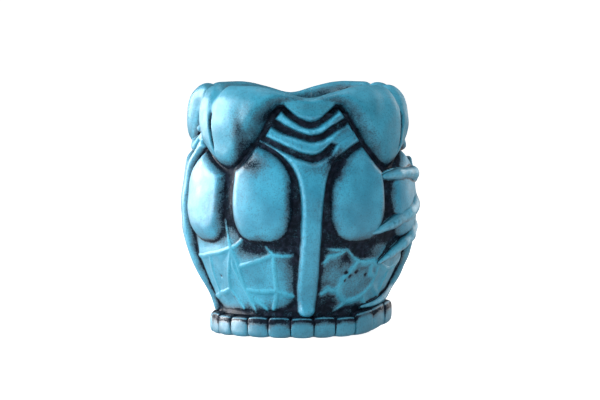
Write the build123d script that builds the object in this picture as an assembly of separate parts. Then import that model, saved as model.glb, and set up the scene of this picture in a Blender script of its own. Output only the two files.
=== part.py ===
"""A pod-shaped ceramic tiki mug, as the pieces of clay that a potter joins with slip before firing.

Millimetres, +Z up. The origin is on the ground under the middle of the cup, and the mug faces -Y.
An azimuth is counted in degrees from the front (-Y) towards +X. The design repeats at every
quarter turn: a ridge at 0, 90, 180 and 270 degrees, and a petal at the corner between two ridges.
On the right, a root that rises from the coil takes the ridge's place, and clasps the front.
"""

from build123d import *
from math import atan2, cos, degrees, hypot, radians, sin
import os

# Driving dimensions
HEIGHT = 114.5          # ground to the top of the petals
BELLY_RADIUS = 50.4     # cup wall, outside, at its widest
WALL = 5.0              # thickness of the cup wall
FOOT_RADIUS = 33.0      # spigot that the coil wraps around
COIL_HEIGHT = 9.4       # segmented coil around the foot
LIP_RADIUS = 40.6       # middle of the rolled lip
LIP_TOP = 109.3         # top of the lip where it shows between two petals
PETAL_TIP = 76.0        # lowest point of a petal

QUARTER_TURNS = (0, 90, 180, 270)
QUARTER_NAMES = ("front", "right", "back", "left")
CORNER_NAMES = ("front_right", "back_right", "back_left", "front_left")

# Cup wall
FOOT_RECESS = 2.0       # hollow under the foot, so that the mug stands on a ring
FOOT_RING_WIDTH = 8.0
FLOOR_TOP = 7.5         # inside of the cup's floor
FLOOR_RADIUS = 25.0
NECK_RADIUS = 36.0      # waist just above the coil
WALL_TOP = 104.0        # where the lip is added
NECK_TOP = COIL_HEIGHT + 0.4

# Outside of the cup wall from neck to lip: (share of the belly radius, share of the height)
WALL_OUTLINE = [
    (NECK_RADIUS / BELLY_RADIUS, NECK_TOP / HEIGHT),
    (0.793, 0.175),
    (0.918, 0.297),
    (0.990, 0.440),
    (0.993, 0.590),
    (0.915, 0.755),
    (0.842, WALL_TOP / HEIGHT),
]

# Ovals, ridges and bands
PAD_AZIMUTH = 26.5      # from the nearest ridge
PAD_HALF_WIDTH = 14.9
PAD_HALF_HEIGHT = 21.2
PAD_MIDDLE = 64.8
PAD_RELIEF = 4.0
RIDGE_HALF_WIDTH = 4.6
RIDGE_BOTTOM = 11.0
RIDGE_RELIEF = 4.2
BAND_RELIEF = 3.4
BAND_SPREADS = {"brow_low": 24.0, "brow_middle": 21.0, "brow_high": 14.0}
WEB_RELIEF = 0.7
WEB_HALF_WIDTH = 0.6
PAD_ROUND = 2.8         # rounds on the outer edges of applied clay
PETAL_ROUND = 2.4
RIDGE_ROUND = 1.4
BAND_ROUND = 0.9

# V-shaped grooves above a ridge, from the lowest: height on the ridge's line, and how much
# higher the groove is at GROOVE_SPREAD to either side
GROOVE_SPREAD = 24.0
GROOVE_WIDTH = 1.8
GROOVES = {"low": (81.9, 12.0), "middle": (90.2, 9.6), "high": (97.0, 7.0), "lip": (104.7, 0.0)}

# Coil
COIL_SEGMENTS = 24
COIL_HALF_WIDTH = 4.0
COIL_RADIUS = FOOT_RADIUS + COIL_HALF_WIDTH - 0.3
COIL_GAP = 1.4          # degrees of azimuth between two segments
COIL_START = 93.2       # azimuth of the coil's raised end
COIL_RISE = 5.0         # how far that end is off the ground

SLIVER = 0.5            # mm3: smaller solids that a cut leaves are dropped


def turned(shape, azimuth):
    """The shape, modelled at the front, carried round to an azimuth."""
    return Rot(0, 0, azimuth) * shape


def wall_points(outset):
    """The wall's outside, moved outwards by outset."""
    return [(BELLY_RADIUS * r + outset, HEIGHT * z) for r, z in WALL_OUTLINE]


def revolved(edges):
    """The solid that closed edges in the XZ plane sweep out around Z."""
    return revolve(make_face(edges), Axis.Z)


def from_axis(face):
    """How far a face's middle is from the mug's axis."""
    middle = face.center()
    return hypot(middle.X, middle.Y)


def outermost(shape):
    """The face of the shape that is farthest from the mug's axis."""
    return max(shape.faces(), key=from_axis)


def softened(shape, radius):
    """The shape with a round along the edges of its outermost face."""
    return fillet(outermost(shape).edges(), radius)


def filled_cup(outset=0.0):
    """The cup without its hollow, with its outside moved outwards by outset."""
    points = wall_points(outset)
    (neck_r, neck_z), (top_r, top_z) = points[0], points[-1]
    foot_r = FOOT_RADIUS + outset
    with BuildLine(Plane.XZ) as outline:
        Polyline((0, top_z), (0, 0), (foot_r, 0), (foot_r, neck_z), (neck_r, neck_z))
        Spline(*points)
        Line((top_r, top_z), (0, top_z))
    return revolved(outline.edges())


def hollow():
    """The space for the drink, up to and past the lip."""
    points = [(r - WALL, z) for r, z in wall_points(0)][1:]
    top_r, top_z = points[-1]
    with BuildLine(Plane.XZ) as outline:
        Polyline((0, HEIGHT), (0, FLOOR_TOP), (FLOOR_RADIUS, FLOOR_TOP))
        Spline((FLOOR_RADIUS, FLOOR_TOP), *points)
        Polyline((top_r, top_z), (top_r, HEIGHT), (0, HEIGHT))
    return revolved(outline.edges())


def cup_wall():
    """Slip-cast pod with a floor and a foot ring."""
    recess = Cylinder(FOOT_RADIUS - FOOT_RING_WIDTH, 2 * FOOT_RECESS)
    return filled_cup() - hollow() - recess


def lip():
    """Coil of clay on top of the wall, rolled round at the top."""
    half_width = (wall_points(0)[-1][0] - LIP_RADIUS)
    with BuildLine(Plane.XZ) as outline:
        inner, outer = LIP_RADIUS - half_width, LIP_RADIUS + half_width
        shoulder = LIP_TOP - half_width
        Polyline((inner, shoulder), (inner, WALL_TOP), (outer, WALL_TOP), (outer, shoulder))
        ThreePointArc((outer, shoulder), (LIP_RADIUS, LIP_TOP), (inner, shoulder))
    return revolved(outline.edges())


def petal_section():
    """Hooked section of a petal: from inside the mouth, over the lip, and down to the tip."""
    inner = LIP_RADIUS - 2.2
    tip_wall = BELLY_RADIUS * 0.965
    with BuildLine(Plane.XZ) as outline:
        Spline(
            (inner, LIP_TOP - 3),
            (inner + 0.8, HEIGHT - 2.5),
            (inner + 5.4, HEIGHT),
            (tip_wall, HEIGHT - 3.6),
            (BELLY_RADIUS + 1.6, HEIGHT - 12),
            (BELLY_RADIUS + 2.6, HEIGHT - 22),
            (BELLY_RADIUS + 1.5, HEIGHT - 32),
            (tip_wall + 0.6, PETAL_TIP),
        )
        Polyline(
            (tip_wall + 0.6, PETAL_TIP),
            (tip_wall - 3, PETAL_TIP),
            (LIP_RADIUS, WALL_TOP - 1),
            (LIP_RADIUS, LIP_TOP - 3),
            (inner, LIP_TOP - 3),
        )
    return make_face(outline.edges())


def petal_shield():
    """Front view of a petal: broad at the lip, narrowing to a rounded tip."""
    broad, middle, narrow, tip = 23.5, 18.5, 9.0, 3.4
    side = [(broad, HEIGHT - 14), (middle, HEIGHT - 22), (narrow, PETAL_TIP + 7.5)]
    lower = side + [(tip, PETAL_TIP + 1.2)]
    with BuildSketch(Plane.XZ) as front:
        with BuildLine():
            Polyline((-broad, HEIGHT - 14), (-broad, HEIGHT + 1), (broad, HEIGHT + 1), lower[0])
            Spline(*lower, (0, PETAL_TIP), *[(-x, z) for x, z in reversed(lower)])
        make_face()
    return extrude(front.sketch, BELLY_RADIUS + 10)


def petal(cup, rim):
    """One petal, modelled at the front, folded over the lip, with a crease down its middle."""
    eighth = 45
    sheet = revolve(Rot(0, 0, -90 - eighth) * petal_section(), Axis.Z, 2 * eighth)
    body = sheet & petal_shield()
    rim_zone = HEIGHT - 3
    edges = [e for e in outermost(body).edges() if e.center().Z < rim_zone]
    crease = Pos(0, -BELLY_RADIUS - 2.9, HEIGHT - 21) * Rot(-3, 0, 0) * Cylinder(1.3, 24)
    return fillet(edges, PETAL_ROUND) - cup - rim - crease


def relief(outline, thickness, cup):
    """Clay laid on the cup's outside, with this front outline, modelled at the front."""
    return (filled_cup(thickness) & extrude(outline, BELLY_RADIUS + 10)) - cup


def pad(cup):
    """Oval pad."""
    with BuildSketch(Plane.XZ) as front:
        with Locations((0, PAD_MIDDLE)):
            Ellipse(PAD_HALF_WIDTH, PAD_HALF_HEIGHT)
    return softened(relief(front.sketch, PAD_RELIEF, cup), PAD_ROUND)


def groove_side(groove, shift, spread):
    """Points along one side of a V-shaped groove, from its right-hand end to its left-hand one."""
    middle, rise = GROOVES[groove]
    right = [(spread * share, middle + shift + rise * spread / GROOVE_SPREAD * share ** 1.2)
             for share in (1, 0.5)]
    return right + [(0, middle + shift)] + [(-x, z) for x, z in reversed(right)]


def ridge(cup):
    """Ridge down a quarter's middle, which spreads at the top into two arms."""
    foot = (RIDGE_HALF_WIDTH - 1, RIDGE_BOTTOM + 3)
    side = [foot, (RIDGE_HALF_WIDTH, 30), (5.2, 68), (8.4, 76.5), (14.5, 83.5), (23.5, 89.0)]
    top = groove_side("low", -GROOVE_WIDTH / 2, side[-1][0])
    with BuildSketch(Plane.XZ) as front:
        with BuildLine():
            ThreePointArc(foot, (0, RIDGE_BOTTOM), (-foot[0], foot[1]))
            Spline(*side)
            Line(side[-1], top[0])
            Spline(*top)
            Line(top[-1], (-side[-1][0], side[-1][1]))
            Spline(*[(-x, z) for x, z in reversed(side)])
        make_face()
    return softened(relief(front.sketch, RIDGE_RELIEF, cup), RIDGE_ROUND)


def band(below, above, spread, cup):
    """V-shaped band between two grooves. Its middle is low and its ends go up under two petals."""
    low = groove_side(below, GROOVE_WIDTH / 2, spread)
    high = groove_side(above, -GROOVE_WIDTH / 2, spread)[::-1]
    with BuildSketch(Plane.XZ) as front:
        with BuildLine():
            Spline(*low)
            Line(low[-1], high[0])
            Spline(*high)
            Line(high[-1], low[0])
        make_face()
    return softened(relief(front.sketch, BAND_RELIEF, cup), BAND_ROUND)


# Web of raised lines between two ridges, under the pads: knots as (azimuth from the middle of
# the quarter, height), and the lines between them as pairs of knots.
WEB_KNOTS = [
    (-33, 35.5), (-15, 33.0), (-31, 19.5), (-12.5, 19.0), (2.5, 29.5), (4.5, 19.5),
    (7.5, 38.5), (20, 33.5), (24, 22.0), (-6, 41.0), (34, 37.0), (33, 16.5), (-20, 14.5),
    (14, 14.5), (-36.5, 28.5),
]
WEB_LINES = [
    (0, 1), (1, 3), (3, 2), (1, 4), (4, 5), (5, 3), (4, 6), (4, 7), (7, 8), (8, 5), (1, 9),
    (7, 10), (8, 11), (3, 12), (5, 13), (0, 14), (14, 2),
]


def radius_at(height):
    """The cup's outside radius at a height, straight between the points of the outline."""
    points = wall_points(0)
    for (r0, z0), (r1, z1) in zip(points, points[1:]):
        if z0 <= height <= z1:
            return r0 + (r1 - r0) * (height - z0) / (z1 - z0)
    return points[-1][0]


def web(cup):
    """Web of raised lines, modelled at the front."""
    knots = [Vector(radius_at(z) * sin(radians(a)), z) for a, z in WEB_KNOTS]
    outline = Sketch()
    for first, last in WEB_LINES:
        start, end = knots[first], knots[last]
        along = end - start
        strip = SlotCenterToCenter(along.length, 2 * WEB_HALF_WIDTH)
        turn = degrees(atan2(along.Y, along.X))
        middle = (start + end) / 2
        outline += Pos(middle.X, middle.Y) * Rot(0, 0, turn) * strip
    return relief(Plane.XZ * outline, WEB_RELIEF, cup)


def on_mug(azimuth, height, radius):
    """The point at an azimuth and height, at a distance from the mug's axis."""
    angle = radians(azimuth)
    return Vector(radius * sin(angle), -radius * cos(angle), height)


def root(path):
    """A tapering round root through stations of (azimuth, height, distance from axis, thickness)."""
    centres = [on_mug(a, z, r) for a, z, r, _ in path]
    centre_line = Spline(*centres)
    sections = []
    for centre, (_, _, _, thickness) in zip(centres, path):
        share = centre_line.param_at_point(centre)
        tangent = centre_line % share
        sections.append(Plane(centre, z_dir=tangent) * Circle(thickness))
    return loft(sections)


# Roots, each from one end to the other. The stem takes the place of the right-hand ridge, and
# its foot sweeps forward above the coil.
ROOT_PATHS = {
    "root_stem": [(90, 78.5, 50.7, 2.2), (91, 60, 51.2, 3.2), (92, 46, 50.6, 3.6),
                  (90, 31, 45.6, 3.4), (84, 22.5, 41.4, 2.6), (71, 17.4, 39.4, 2.2),
                  (56, 14.6, 38.6, 1.6), (46, 13.8, 38, 1)],
    "root_upper": [(88, 68.5, 51.2, 2.2), (80, 72, 51.8, 2.8), (70, 73.8, 53, 3.3),
                   (60, 74.2, 52.7, 2.6), (50, 74, 52.4, 2.4), (42, 73.4, 51.6, 1.3)],
    "root_middle": [(88, 69.5, 50.8, 2.2), (78, 62, 51.6, 3.5), (68, 57.6, 52.8, 4),
                    (56, 54.6, 52.7, 3.2), (44, 51, 52.3, 2.3), (32, 47.4, 50.8, 0.8)],
    "root_lower": [(89, 57.5, 50.6, 2.6), (80, 49.2, 51.1, 3.4), (70, 44.7, 51.3, 3.1),
                   (57, 40, 49.8, 2.4), (44, 34, 47.2, 0.9)],
}


def coil_segments():
    """Segments of the coil, each with its azimuth. The last few climb."""
    pitch = 360 / COIL_SEGMENTS
    segments = []
    for i in range(COIL_SEGMENTS):
        azimuth = COIL_START - 360 + (i + 0.5) * pitch
        climb = max(0.0, 1 - (COIL_START - azimuth) / 90)
        lift = COIL_RISE * climb ** 1.5
        with BuildSketch(Plane.XZ) as section:
            with Locations((COIL_RADIUS, COIL_HEIGHT / 2 + lift)):
                Ellipse(COIL_HALF_WIDTH, COIL_HEIGHT / 2)
        bead = revolve(section.sketch, Axis.Z, pitch - COIL_GAP)
        segments.append((azimuth, turned(bead, azimuth - 90 - (pitch - COIL_GAP) / 2)))
    return segments


def without(shape, others):
    """The shape cut back by each of the others that it could touch."""
    for other in others:
        if shape.bounding_box().overlaps(other.bounding_box()):
            shape -= other
    return shape


def all_roots(cup):
    """The root's stem and its branches, by name."""
    roots = {}
    for name, path in ROOT_PATHS.items():
        roots[name] = without(root(path), [cup, *roots.values()])
    return roots


def quarter_sprigs(cup, rim):
    """The clay laid on one quarter, placed around a ridge at the front, by the pattern of its
    name, in which {0} stands for the quarter and {1} for the corner to its right."""
    sprig = petal(cup, rim)
    right_petal, left_petal = turned(sprig, 45), turned(sprig, -45)
    sprigs = {"ridge_{0}": ridge(cup), "pad_{0}_left": turned(pad(cup), -PAD_AZIMUTH),
              "pad_{0}_right": turned(pad(cup), PAD_AZIMUTH)}
    levels = list(GROOVES)
    for label, below, above in zip(BAND_SPREADS, levels, levels[1:]):
        sprigs[label + "_{0}"] = band(below, above, BAND_SPREADS[label], cup)
    sprigs = {name: without(shape, [right_petal, left_petal]) for name, shape in sprigs.items()}
    return {**sprigs, "petal_{1}": right_petal, "web_{1}": turned(web(cup), 45)}


def applied_clay(cup, rim):
    """Every piece laid on the cup except the coil, by name, with none overlapping."""
    roots = all_roots(cup)
    pieces = dict(roots)
    for pattern, sprig in quarter_sprigs(cup, rim).items():
        for turn, *names in zip(QUARTER_TURNS, QUARTER_NAMES, CORNER_NAMES):
            pieces[pattern.format(*names)] = turned(sprig, turn)
    del pieces["ridge_right"]
    for name in ("pad_right_left", "pad_right_right", "pad_front_right", "web_front_right"):
        pieces[name] = without(pieces[name], roots.values())
    return pieces


def save(name, shape):
    """Writes one sub-part, named after its node. Slivers that a cut leaves are dropped."""
    solids = [s for s in shape.solids() if s.volume > SLIVER]
    export_step(Compound(children=solids) if len(solids) > 1 else solids[0], f"parts/{name}.step")


def main():
    os.makedirs("parts", exist_ok=True)
    cup, rim = filled_cup(), lip()
    pieces = applied_clay(cup, rim)
    coil = {name: [] for name in QUARTER_NAMES}
    for azimuth, bead in coil_segments():
        quarter = QUARTER_NAMES[round(azimuth / 90) % 4]
        coil[quarter].append(without(bead, [cup, pieces["root_stem"]]))

    save("cup_wall", cup_wall())
    save("lip", rim)
    for name, shape in pieces.items():
        save(name, shape)
    for name, beads in coil.items():
        save(f"coil_{name}", Compound(children=beads))


if __name__ == "__main__":
    main()
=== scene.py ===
"""A pod-shaped ceramic tiki mug: the visible clay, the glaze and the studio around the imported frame.

Lengths are millimetres and angles are degrees, until add_piece() writes metres. An azimuth is
counted from the front (-Y) towards +X, and a relief is a height above the cup's plain wall. The
design repeats every quarter turn, around ridges at 0, 90, 180 and 270 degrees.
"""

import bmesh
import bpy
import numpy as np
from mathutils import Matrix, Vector


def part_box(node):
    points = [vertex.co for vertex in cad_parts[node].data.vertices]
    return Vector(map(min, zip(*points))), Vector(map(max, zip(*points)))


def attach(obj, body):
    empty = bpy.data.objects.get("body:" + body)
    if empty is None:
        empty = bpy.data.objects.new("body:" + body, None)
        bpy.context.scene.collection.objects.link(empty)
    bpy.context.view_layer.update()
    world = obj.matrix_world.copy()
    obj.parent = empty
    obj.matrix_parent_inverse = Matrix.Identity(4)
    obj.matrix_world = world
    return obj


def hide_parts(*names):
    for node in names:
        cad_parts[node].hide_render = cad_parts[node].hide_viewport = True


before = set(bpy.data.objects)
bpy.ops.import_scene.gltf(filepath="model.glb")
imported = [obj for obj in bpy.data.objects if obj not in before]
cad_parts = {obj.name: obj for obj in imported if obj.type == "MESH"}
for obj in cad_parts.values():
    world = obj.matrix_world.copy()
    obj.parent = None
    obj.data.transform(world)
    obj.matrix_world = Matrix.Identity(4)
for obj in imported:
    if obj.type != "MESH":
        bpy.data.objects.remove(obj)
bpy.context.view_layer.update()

MM = 0.001
QUARTERS = {"front": 0, "right": 90, "back": 180, "left": -90}
CORNERS = {"front_right": 45, "back_right": 135, "back_left": -135, "front_left": -45}
SEED = 11


def node_box(name):
    """Lowest and highest corner of a CAD node, in millimetres."""
    low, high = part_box(name)
    return np.array(low) / MM, np.array(high) / MM


# Heights that the frame fixes
HEIGHT = node_box("petal_front_left")[1][2]
PETAL_TIP = node_box("petal_front_left")[0][2]
WALL_TOP = node_box("cup_wall")[1][2]
LIP_TOP = node_box("lip")[1][2]
COIL_HEIGHT = 9.4
COIL_TOP = node_box("coil_front")[0][2] + COIL_HEIGHT
PAD_LOW, PAD_HIGH = node_box("pad_front_left")[0][2], node_box("pad_front_left")[1][2]

# Cup
WALL = 5.0
FOOT_RADIUS = 33.0
FOOT_INSIDE = 25.0
FOOT_RECESS = 2.0
FLOOR_TOP = 7.5
WALL_BOTTOM = COIL_TOP + 0.4

# Pads
PAD_OFFSET = 26.0        # azimuth from the nearest ridge
PAD_HALF_SPAN = 17.0
PAD_HALF_WIDTH = 15.0
PAD_RELIEF = 3.4
PAD_CROWN = 1.0
PAD_EDGE = 4.6
PAD_POWER = 3.0

# Ridges, grooves and bands
RIDGE_END = COIL_TOP - 1.2
RIDGE_HALF_WIDTH = 5.3
RIDGE_RELIEF = 3.9
FRONT_FOOT = 2.8         # how much further the foot of the front ridge stands out
RIDGE_EDGE = 3.0
BAND_RELIEF = 3.4
BAND_EDGE = 2.2
# Middle line of each groove, as (distance from the ridge's line, height)
GROOVES = {
    "low": [(-27, 92.6), (-13.2, 86.4), (-6, 83.4), (0, 81.8), (4.2, 82.8), (9.3, 87.2), (24, 95)],
    "middle": [(-27, 102.5), (-13.2, 95.2), (-6, 92.3), (0, 90.5), (4.8, 91.5), (10, 94.8),
               (24, 103)],
    "high": [(-24, 113), (-15, 106), (-11, 102), (-5.5, 98.2), (-0.6, 96.6), (3.4, 97.4),
             (8, 100.8), (15, 106.5), (24, 113)],
}
# Width of a groove in its middle and at its ends, and how much less half of it is on the right
GROOVE_WIDTHS = {"low": (1.7, 1.9, 3.2), "middle": (1.8, 3.4, 0.9), "high": (1.9, 2.6, 0)}
# The grooves below and above each band, and how far it reaches from the ridge's line
BANDS = {"brow_low": ("low", "middle", 24.5), "brow_middle": ("middle", "high", 20.5),
         "brow_high": ("high", None, 19.0)}
LIP_SEAM = 101.6         # height where the top band runs into the lip

# Petals: azimuth of the middle, direction of its side of the mug, stretch of the half there
PETALS = {"front_right": (46, 1, 0.94), "back_right": (134, -1, 1.0),
          "back_left": (-136, 1, 1.5), "front_left": (-46, -1, 1.0)}
PETAL_REACH = 31.0       # offset where a petal's own piece ends
PETAL_EDGE = 8.0
LIP_RELIEF = 3.0
MOUTH_RADIUS = 37.6

# Web
WEB_RELIEF = 0.45
WEB_HALF_WIDTH = 1.2
CELL_DEPTH = 0.5


def smoothstep(low, high, value):
    """0 below low, 1 above high, and smooth in between. Low may be the higher number."""
    share = np.clip((value - low) / (high - low), 0, 1)
    return share * share * (3 - 2 * share)


def soft_curve(points, softness):
    """A function through the points, with its corners rounded over a stretch of softness."""
    places, values = np.array(points, float).T
    margin = 4 * softness
    fine = np.linspace(places[0] - margin, places[-1] + margin, 2000)
    step = fine[1] - fine[0]
    kernel = np.exp(-0.5 * (np.arange(-margin, margin, step) / softness) ** 2)
    kernel /= kernel.sum()
    before, after = len(kernel) // 2, len(kernel) - 1 - len(kernel) // 2
    plain = np.pad(np.interp(fine, places, values), (before, after), mode="edge")
    smooth = np.convolve(plain, kernel, mode="valid")
    return lambda place: np.interp(place, fine, smooth)


def wrapped(azimuth):
    """The azimuth brought into -180 to 180."""
    return (azimuth + 180) % 360 - 180


def fit_wall():
    """Polynomial for the outside radius of the cup by height, fitted to the CAD cup."""
    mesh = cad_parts["cup_wall"].data
    middles = np.array([p.center for p in mesh.polygons]) / MM
    normals = np.array([p.normal for p in mesh.polygons])
    radius = np.hypot(middles[:, 0], middles[:, 1])
    outward = (normals[:, :2] * middles[:, :2]).sum(1) / np.maximum(radius, 1)
    outside = (outward > 0.3) & (middles[:, 2] > WALL_BOTTOM + 0.2)
    return np.polyfit(middles[outside, 2], radius[outside], 7)


WALL_FIT = fit_wall()


def wall_radius(height):
    """Outside radius of the plain cup at a height."""
    return np.polyval(WALL_FIT, np.clip(height, WALL_BOTTOM, WALL_TOP))


def on_mug(azimuth, height, radius):
    """Points as rows of X, Y, Z."""
    angle = np.radians(azimuth)
    return np.stack([radius * np.sin(angle), -radius * np.cos(angle), height], axis=-1)


def rounded(inside, relief, edge):
    """Relief of clay whose sides round over within edge of its outline. Outside it goes below 0."""
    share = np.minimum(inside / edge, 1)
    return relief * np.where(share > 0, share * (2 - share), 2 * share)


def gaussian(count, size, wraps=False):
    """Matrix that blurs a row of count numbers by size steps."""
    steps = np.arange(count)
    apart = np.abs(steps[:, None] - steps[None])
    if wraps:
        apart = np.minimum(apart, count - apart)
    weights = np.exp(-0.5 * (apart / size) ** 2)
    return weights / weights.sum(1)[:, None]


def softened(values, up, along, wraps=False):
    """A grid blurred by so many rows and columns."""
    rows, columns = values.shape
    return gaussian(rows, up) @ values @ gaussian(columns, along, wraps).T


def between(values, column, row):
    """A grid's values at places between its points."""
    column = np.clip(column, 0, values.shape[1] - 1.001)
    row = np.clip(row, 0, values.shape[0] - 1.001)
    c, r = column.astype(int), row.astype(int)
    right, up = column - c, row - r
    low = values[r, c] * (1 - right) + values[r, c + 1] * right
    high = values[r + 1, c] * (1 - right) + values[r + 1, c + 1] * right
    return low * (1 - up) + high * up


# ---------------------------------------------------------------- petals and lip
# A petal is drawn once, by its offset: degrees from its middle, positive towards the left or
# right side of the mug. Its front or back half is the negative one.

petal_outline = soft_curve(
    [(-48, 109), (-29, 107), (-23, 101.6), (-17, 92), (-9.5, 83.2), (-4.5, 78), (1, PETAL_TIP),
     (6.5, 77.4), (16.5, 82.6), (23.5, 88.4), (26.5, 97), (28, 106), (31, 122)], 1.3)
petal_radius = soft_curve(
    [(75, 50.0), (82, 52.2), (90, 53.2), (98, 53.4), (104, 52.4), (110, 49.8), (115, 47.5)], 2.0)
rim_height = soft_curve(
    [(-48, LIP_TOP - 0.3), (-41, LIP_TOP), (-30, HEIGHT - 2.6), (-20, HEIGHT - 0.7),
     (-12, HEIGHT), (22, HEIGHT - 0.1), (30, HEIGHT - 2.2), (40, LIP_TOP + 0.6),
     (48, LIP_TOP + 0.4)], 2.2)


def petal_offset(azimuth):
    """Offset in the nearest petal."""
    offsets = []
    for middle, outward, stretch in PETALS.values():
        offset = wrapped(azimuth - middle) * outward
        offsets.append(np.where(offset > 0, offset / stretch, offset))
    offsets = np.stack(offsets)
    nearest = np.abs(offsets).argmin(0)
    return np.take_along_axis(offsets, nearest[None], 0)[0]


# The grids that a petal is drawn on: their step, and the offset and height where they start
PETAL_STEP = 0.4
PETAL_FIRST = -50
PETAL_LOW = 70


def petal_grids():
    """A petal's distance inside its outline, relief and dark shade, by height and offset."""
    offsets = np.arange(PETAL_FIRST, -PETAL_FIRST, PETAL_STEP)
    heights = np.arange(PETAL_LOW, 116, PETAL_STEP)
    offset, height = np.meshgrid(offsets, heights)
    line = np.linspace(-48, 31, 320)
    line_across, line_height = np.radians(line) * 50, petal_outline(line)
    apart = np.full(offset.shape, 99.0)
    for across, z in zip(line_across, line_height):
        apart = np.minimum(apart, np.hypot(np.radians(offset) * 50 - across, height - z))
    inside = np.where(height > petal_outline(offset), apart, -apart)
    share = np.clip(inside / PETAL_EDGE, -1, 1)
    profile = np.where(share > 0, 1 - (1 - np.maximum(share, 0)) ** 2.5, 2.5 * share)
    full = petal_radius(height) - wall_radius(height)
    crease = offset - np.minimum(8 + 0.2 * (height - 84), 11.4)
    cut = 1.6 * smoothstep(81.5, 90, height) * smoothstep(104.5, 99, height)
    cut = cut * np.exp(-(crease / (0.35 + 0.03 * (height - 82).clip(0, 20))) ** 2)
    valley = 1.2 * np.exp(-(crease / 2.5) ** 2) * smoothstep(95, 108, height)
    hollow = 0.25 * np.exp(-((offset + 13 - 0.36 * (height - 88)) / 3.6) ** 2)
    hollow = hollow * smoothstep(84, 90, height) * smoothstep(108, 102, height)
    relief = softened(full * profile, 1.8, 1.6) - (valley + hollow) * np.clip(profile, 0, 1)
    slope = 0.62 * smoothstep(7.5, 1.0, inside) * smoothstep(3, -5, offset) * (inside > 0)
    shade = softened(np.maximum(slope, 1.2 * np.minimum(cut, 0.9)), 0.8, 0.8)
    return inside, relief - softened(cut, 0.6, 0.6), shade


PETAL_INSIDE, PETAL_RELIEF, PETAL_SHADE = petal_grids()


def on_petal(values, azimuth, height):
    """A petal grid's values at azimuths and heights."""
    column = (petal_offset(azimuth) - PETAL_FIRST) / PETAL_STEP
    return between(values, column, (height - PETAL_LOW) / PETAL_STEP)


def inside_petal(azimuth, height):
    """Distance inside the outline of the nearest petal, and below 0 outside it."""
    return on_petal(PETAL_INSIDE, azimuth, height)


def rim_relief(azimuth, height):
    """Relief of the petals, the lip and the top band, which all run into each other."""
    petal = on_petal(PETAL_RELIEF, azimuth, height)
    turn = 90 * np.round(azimuth / 90)
    across = across_ridge(azimuth, height, turn)
    edge = groove_level("high", across) + groove_half("high", across)
    inside = 0.8 * (height - np.minimum(edge, LIP_SEAM + 3.4))
    lip = rounded(inside, LIP_RELIEF, 2.6)
    high, low = np.maximum(petal, lip), np.minimum(petal, lip)
    return high + 0.8 * np.exp(-np.clip((high - low) / 1.6, 0, 30)) * (low > -1)


# ---------------------------------------------------------------- relief of the applied clay

groove_lines = {name: soft_curve(points, 1.1) for name, points in GROOVES.items()}


def groove_level(name, across):
    """Height of a groove's middle line at a distance from the ridge's line."""
    return groove_lines[name](across)


def groove_half(name, across):
    """Half of a groove's width. The lower two grooves close up towards their right ends."""
    middle, ends, closing = GROOVE_WIDTHS[name]
    half = (middle + (ends - middle) * smoothstep(4, 18, np.abs(across))) / 2
    return half - closing * smoothstep(8.5, 13, across)


def across_ridge(azimuth, height, turn):
    """Distance from a ridge's line, which leans a little on its way up."""
    lean = 1.5 * smoothstep(20, 76, height) - 1.0
    return np.radians(wrapped(azimuth - turn)) * (wall_radius(height) + 3) - lean


def pad_relief(azimuth, height, middle):
    """Relief of one oval pad, which stops short of the petal above it."""
    turn = 90 * round(middle / 90)
    centre, half = (PAD_LOW + PAD_HIGH) / 2 + 1.2, (PAD_HIGH - PAD_LOW) / 2 + 1.2
    across = np.abs(wrapped(azimuth - middle)) / PAD_HALF_SPAN
    up = np.abs(height - centre) / half
    reach = (across ** PAD_POWER + up ** PAD_POWER) ** (1 / PAD_POWER)
    gap = 1.0 - 1.2 * smoothstep(2, 7, petal_offset(azimuth))
    inside = np.minimum((1 - reach) * PAD_HALF_WIDTH, -gap - inside_petal(azimuth, height))
    inside = np.minimum(inside, -1.2 - inside_ridge(azimuth, height, turn))
    crown = PAD_CROWN * np.clip(1 - reach ** 2, 0, 1)
    return rounded(inside, PAD_RELIEF, PAD_EDGE) + crown


def inside_ridge(azimuth, height, turn):
    """Distance inside the outline of a ridge and the two arms that its top spreads into."""
    across = across_ridge(azimuth, height, turn)
    flare = 21 * np.exp((height - 89.5) / 8)
    side = (RIDGE_HALF_WIDTH + flare - np.abs(across)) / np.hypot(1, flare / 8)
    top = 0.9 * (groove_level("low", across) - groove_half("low", across) - height)
    foot = RIDGE_END + RIDGE_HALF_WIDTH
    narrow = RIDGE_HALF_WIDTH * (1 - 0.12 * smoothstep(foot + 8, foot, height))
    end = narrow - np.hypot(across, np.minimum(height - foot, 0) * 0.9)
    return np.minimum(np.where(height < foot + 8, end, side), top)


def ridge_relief(azimuth, height, turn, foot):
    """Relief of a ridge and its arms, which stop short of the petals. Foot is added at its end."""
    inside = np.minimum(inside_ridge(azimuth, height, turn), -0.6 - inside_petal(azimuth, height))
    relief = RIDGE_RELIEF - 1.4 * smoothstep(46, 14, height) + foot * smoothstep(19, 9.5, height)
    return rounded(inside, relief, RIDGE_EDGE)


def band_relief(azimuth, height, turn, below, above, reach):
    """Relief of one band between two grooves. The top band has no groove above it."""
    across = across_ridge(azimuth, height, turn)
    if above is None:
        sunk = 0.12 * smoothstep(LIP_SEAM - 0.3, LIP_SEAM + 0.4, height)
        shows = (np.abs(across) < reach) & (height < LIP_SEAM + 0.8)
        shows &= inside_petal(azimuth, height) < 1
        return np.where(shows, rim_relief(azimuth, height) - sunk, -2)
    low = 0.88 * (height - groove_level(below, across) - groove_half(below, across))
    high = 0.88 * (groove_level(above, across) - groove_half(above, across) - height)
    inside = np.minimum(np.minimum(low, high), reach - np.abs(across))
    gap = 1.2 + 0.9 * smoothstep(-4, -12, across)
    inside = np.minimum(inside, -gap - inside_petal(azimuth, height))
    return rounded(inside, BAND_RELIEF, BAND_EDGE)


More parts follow.
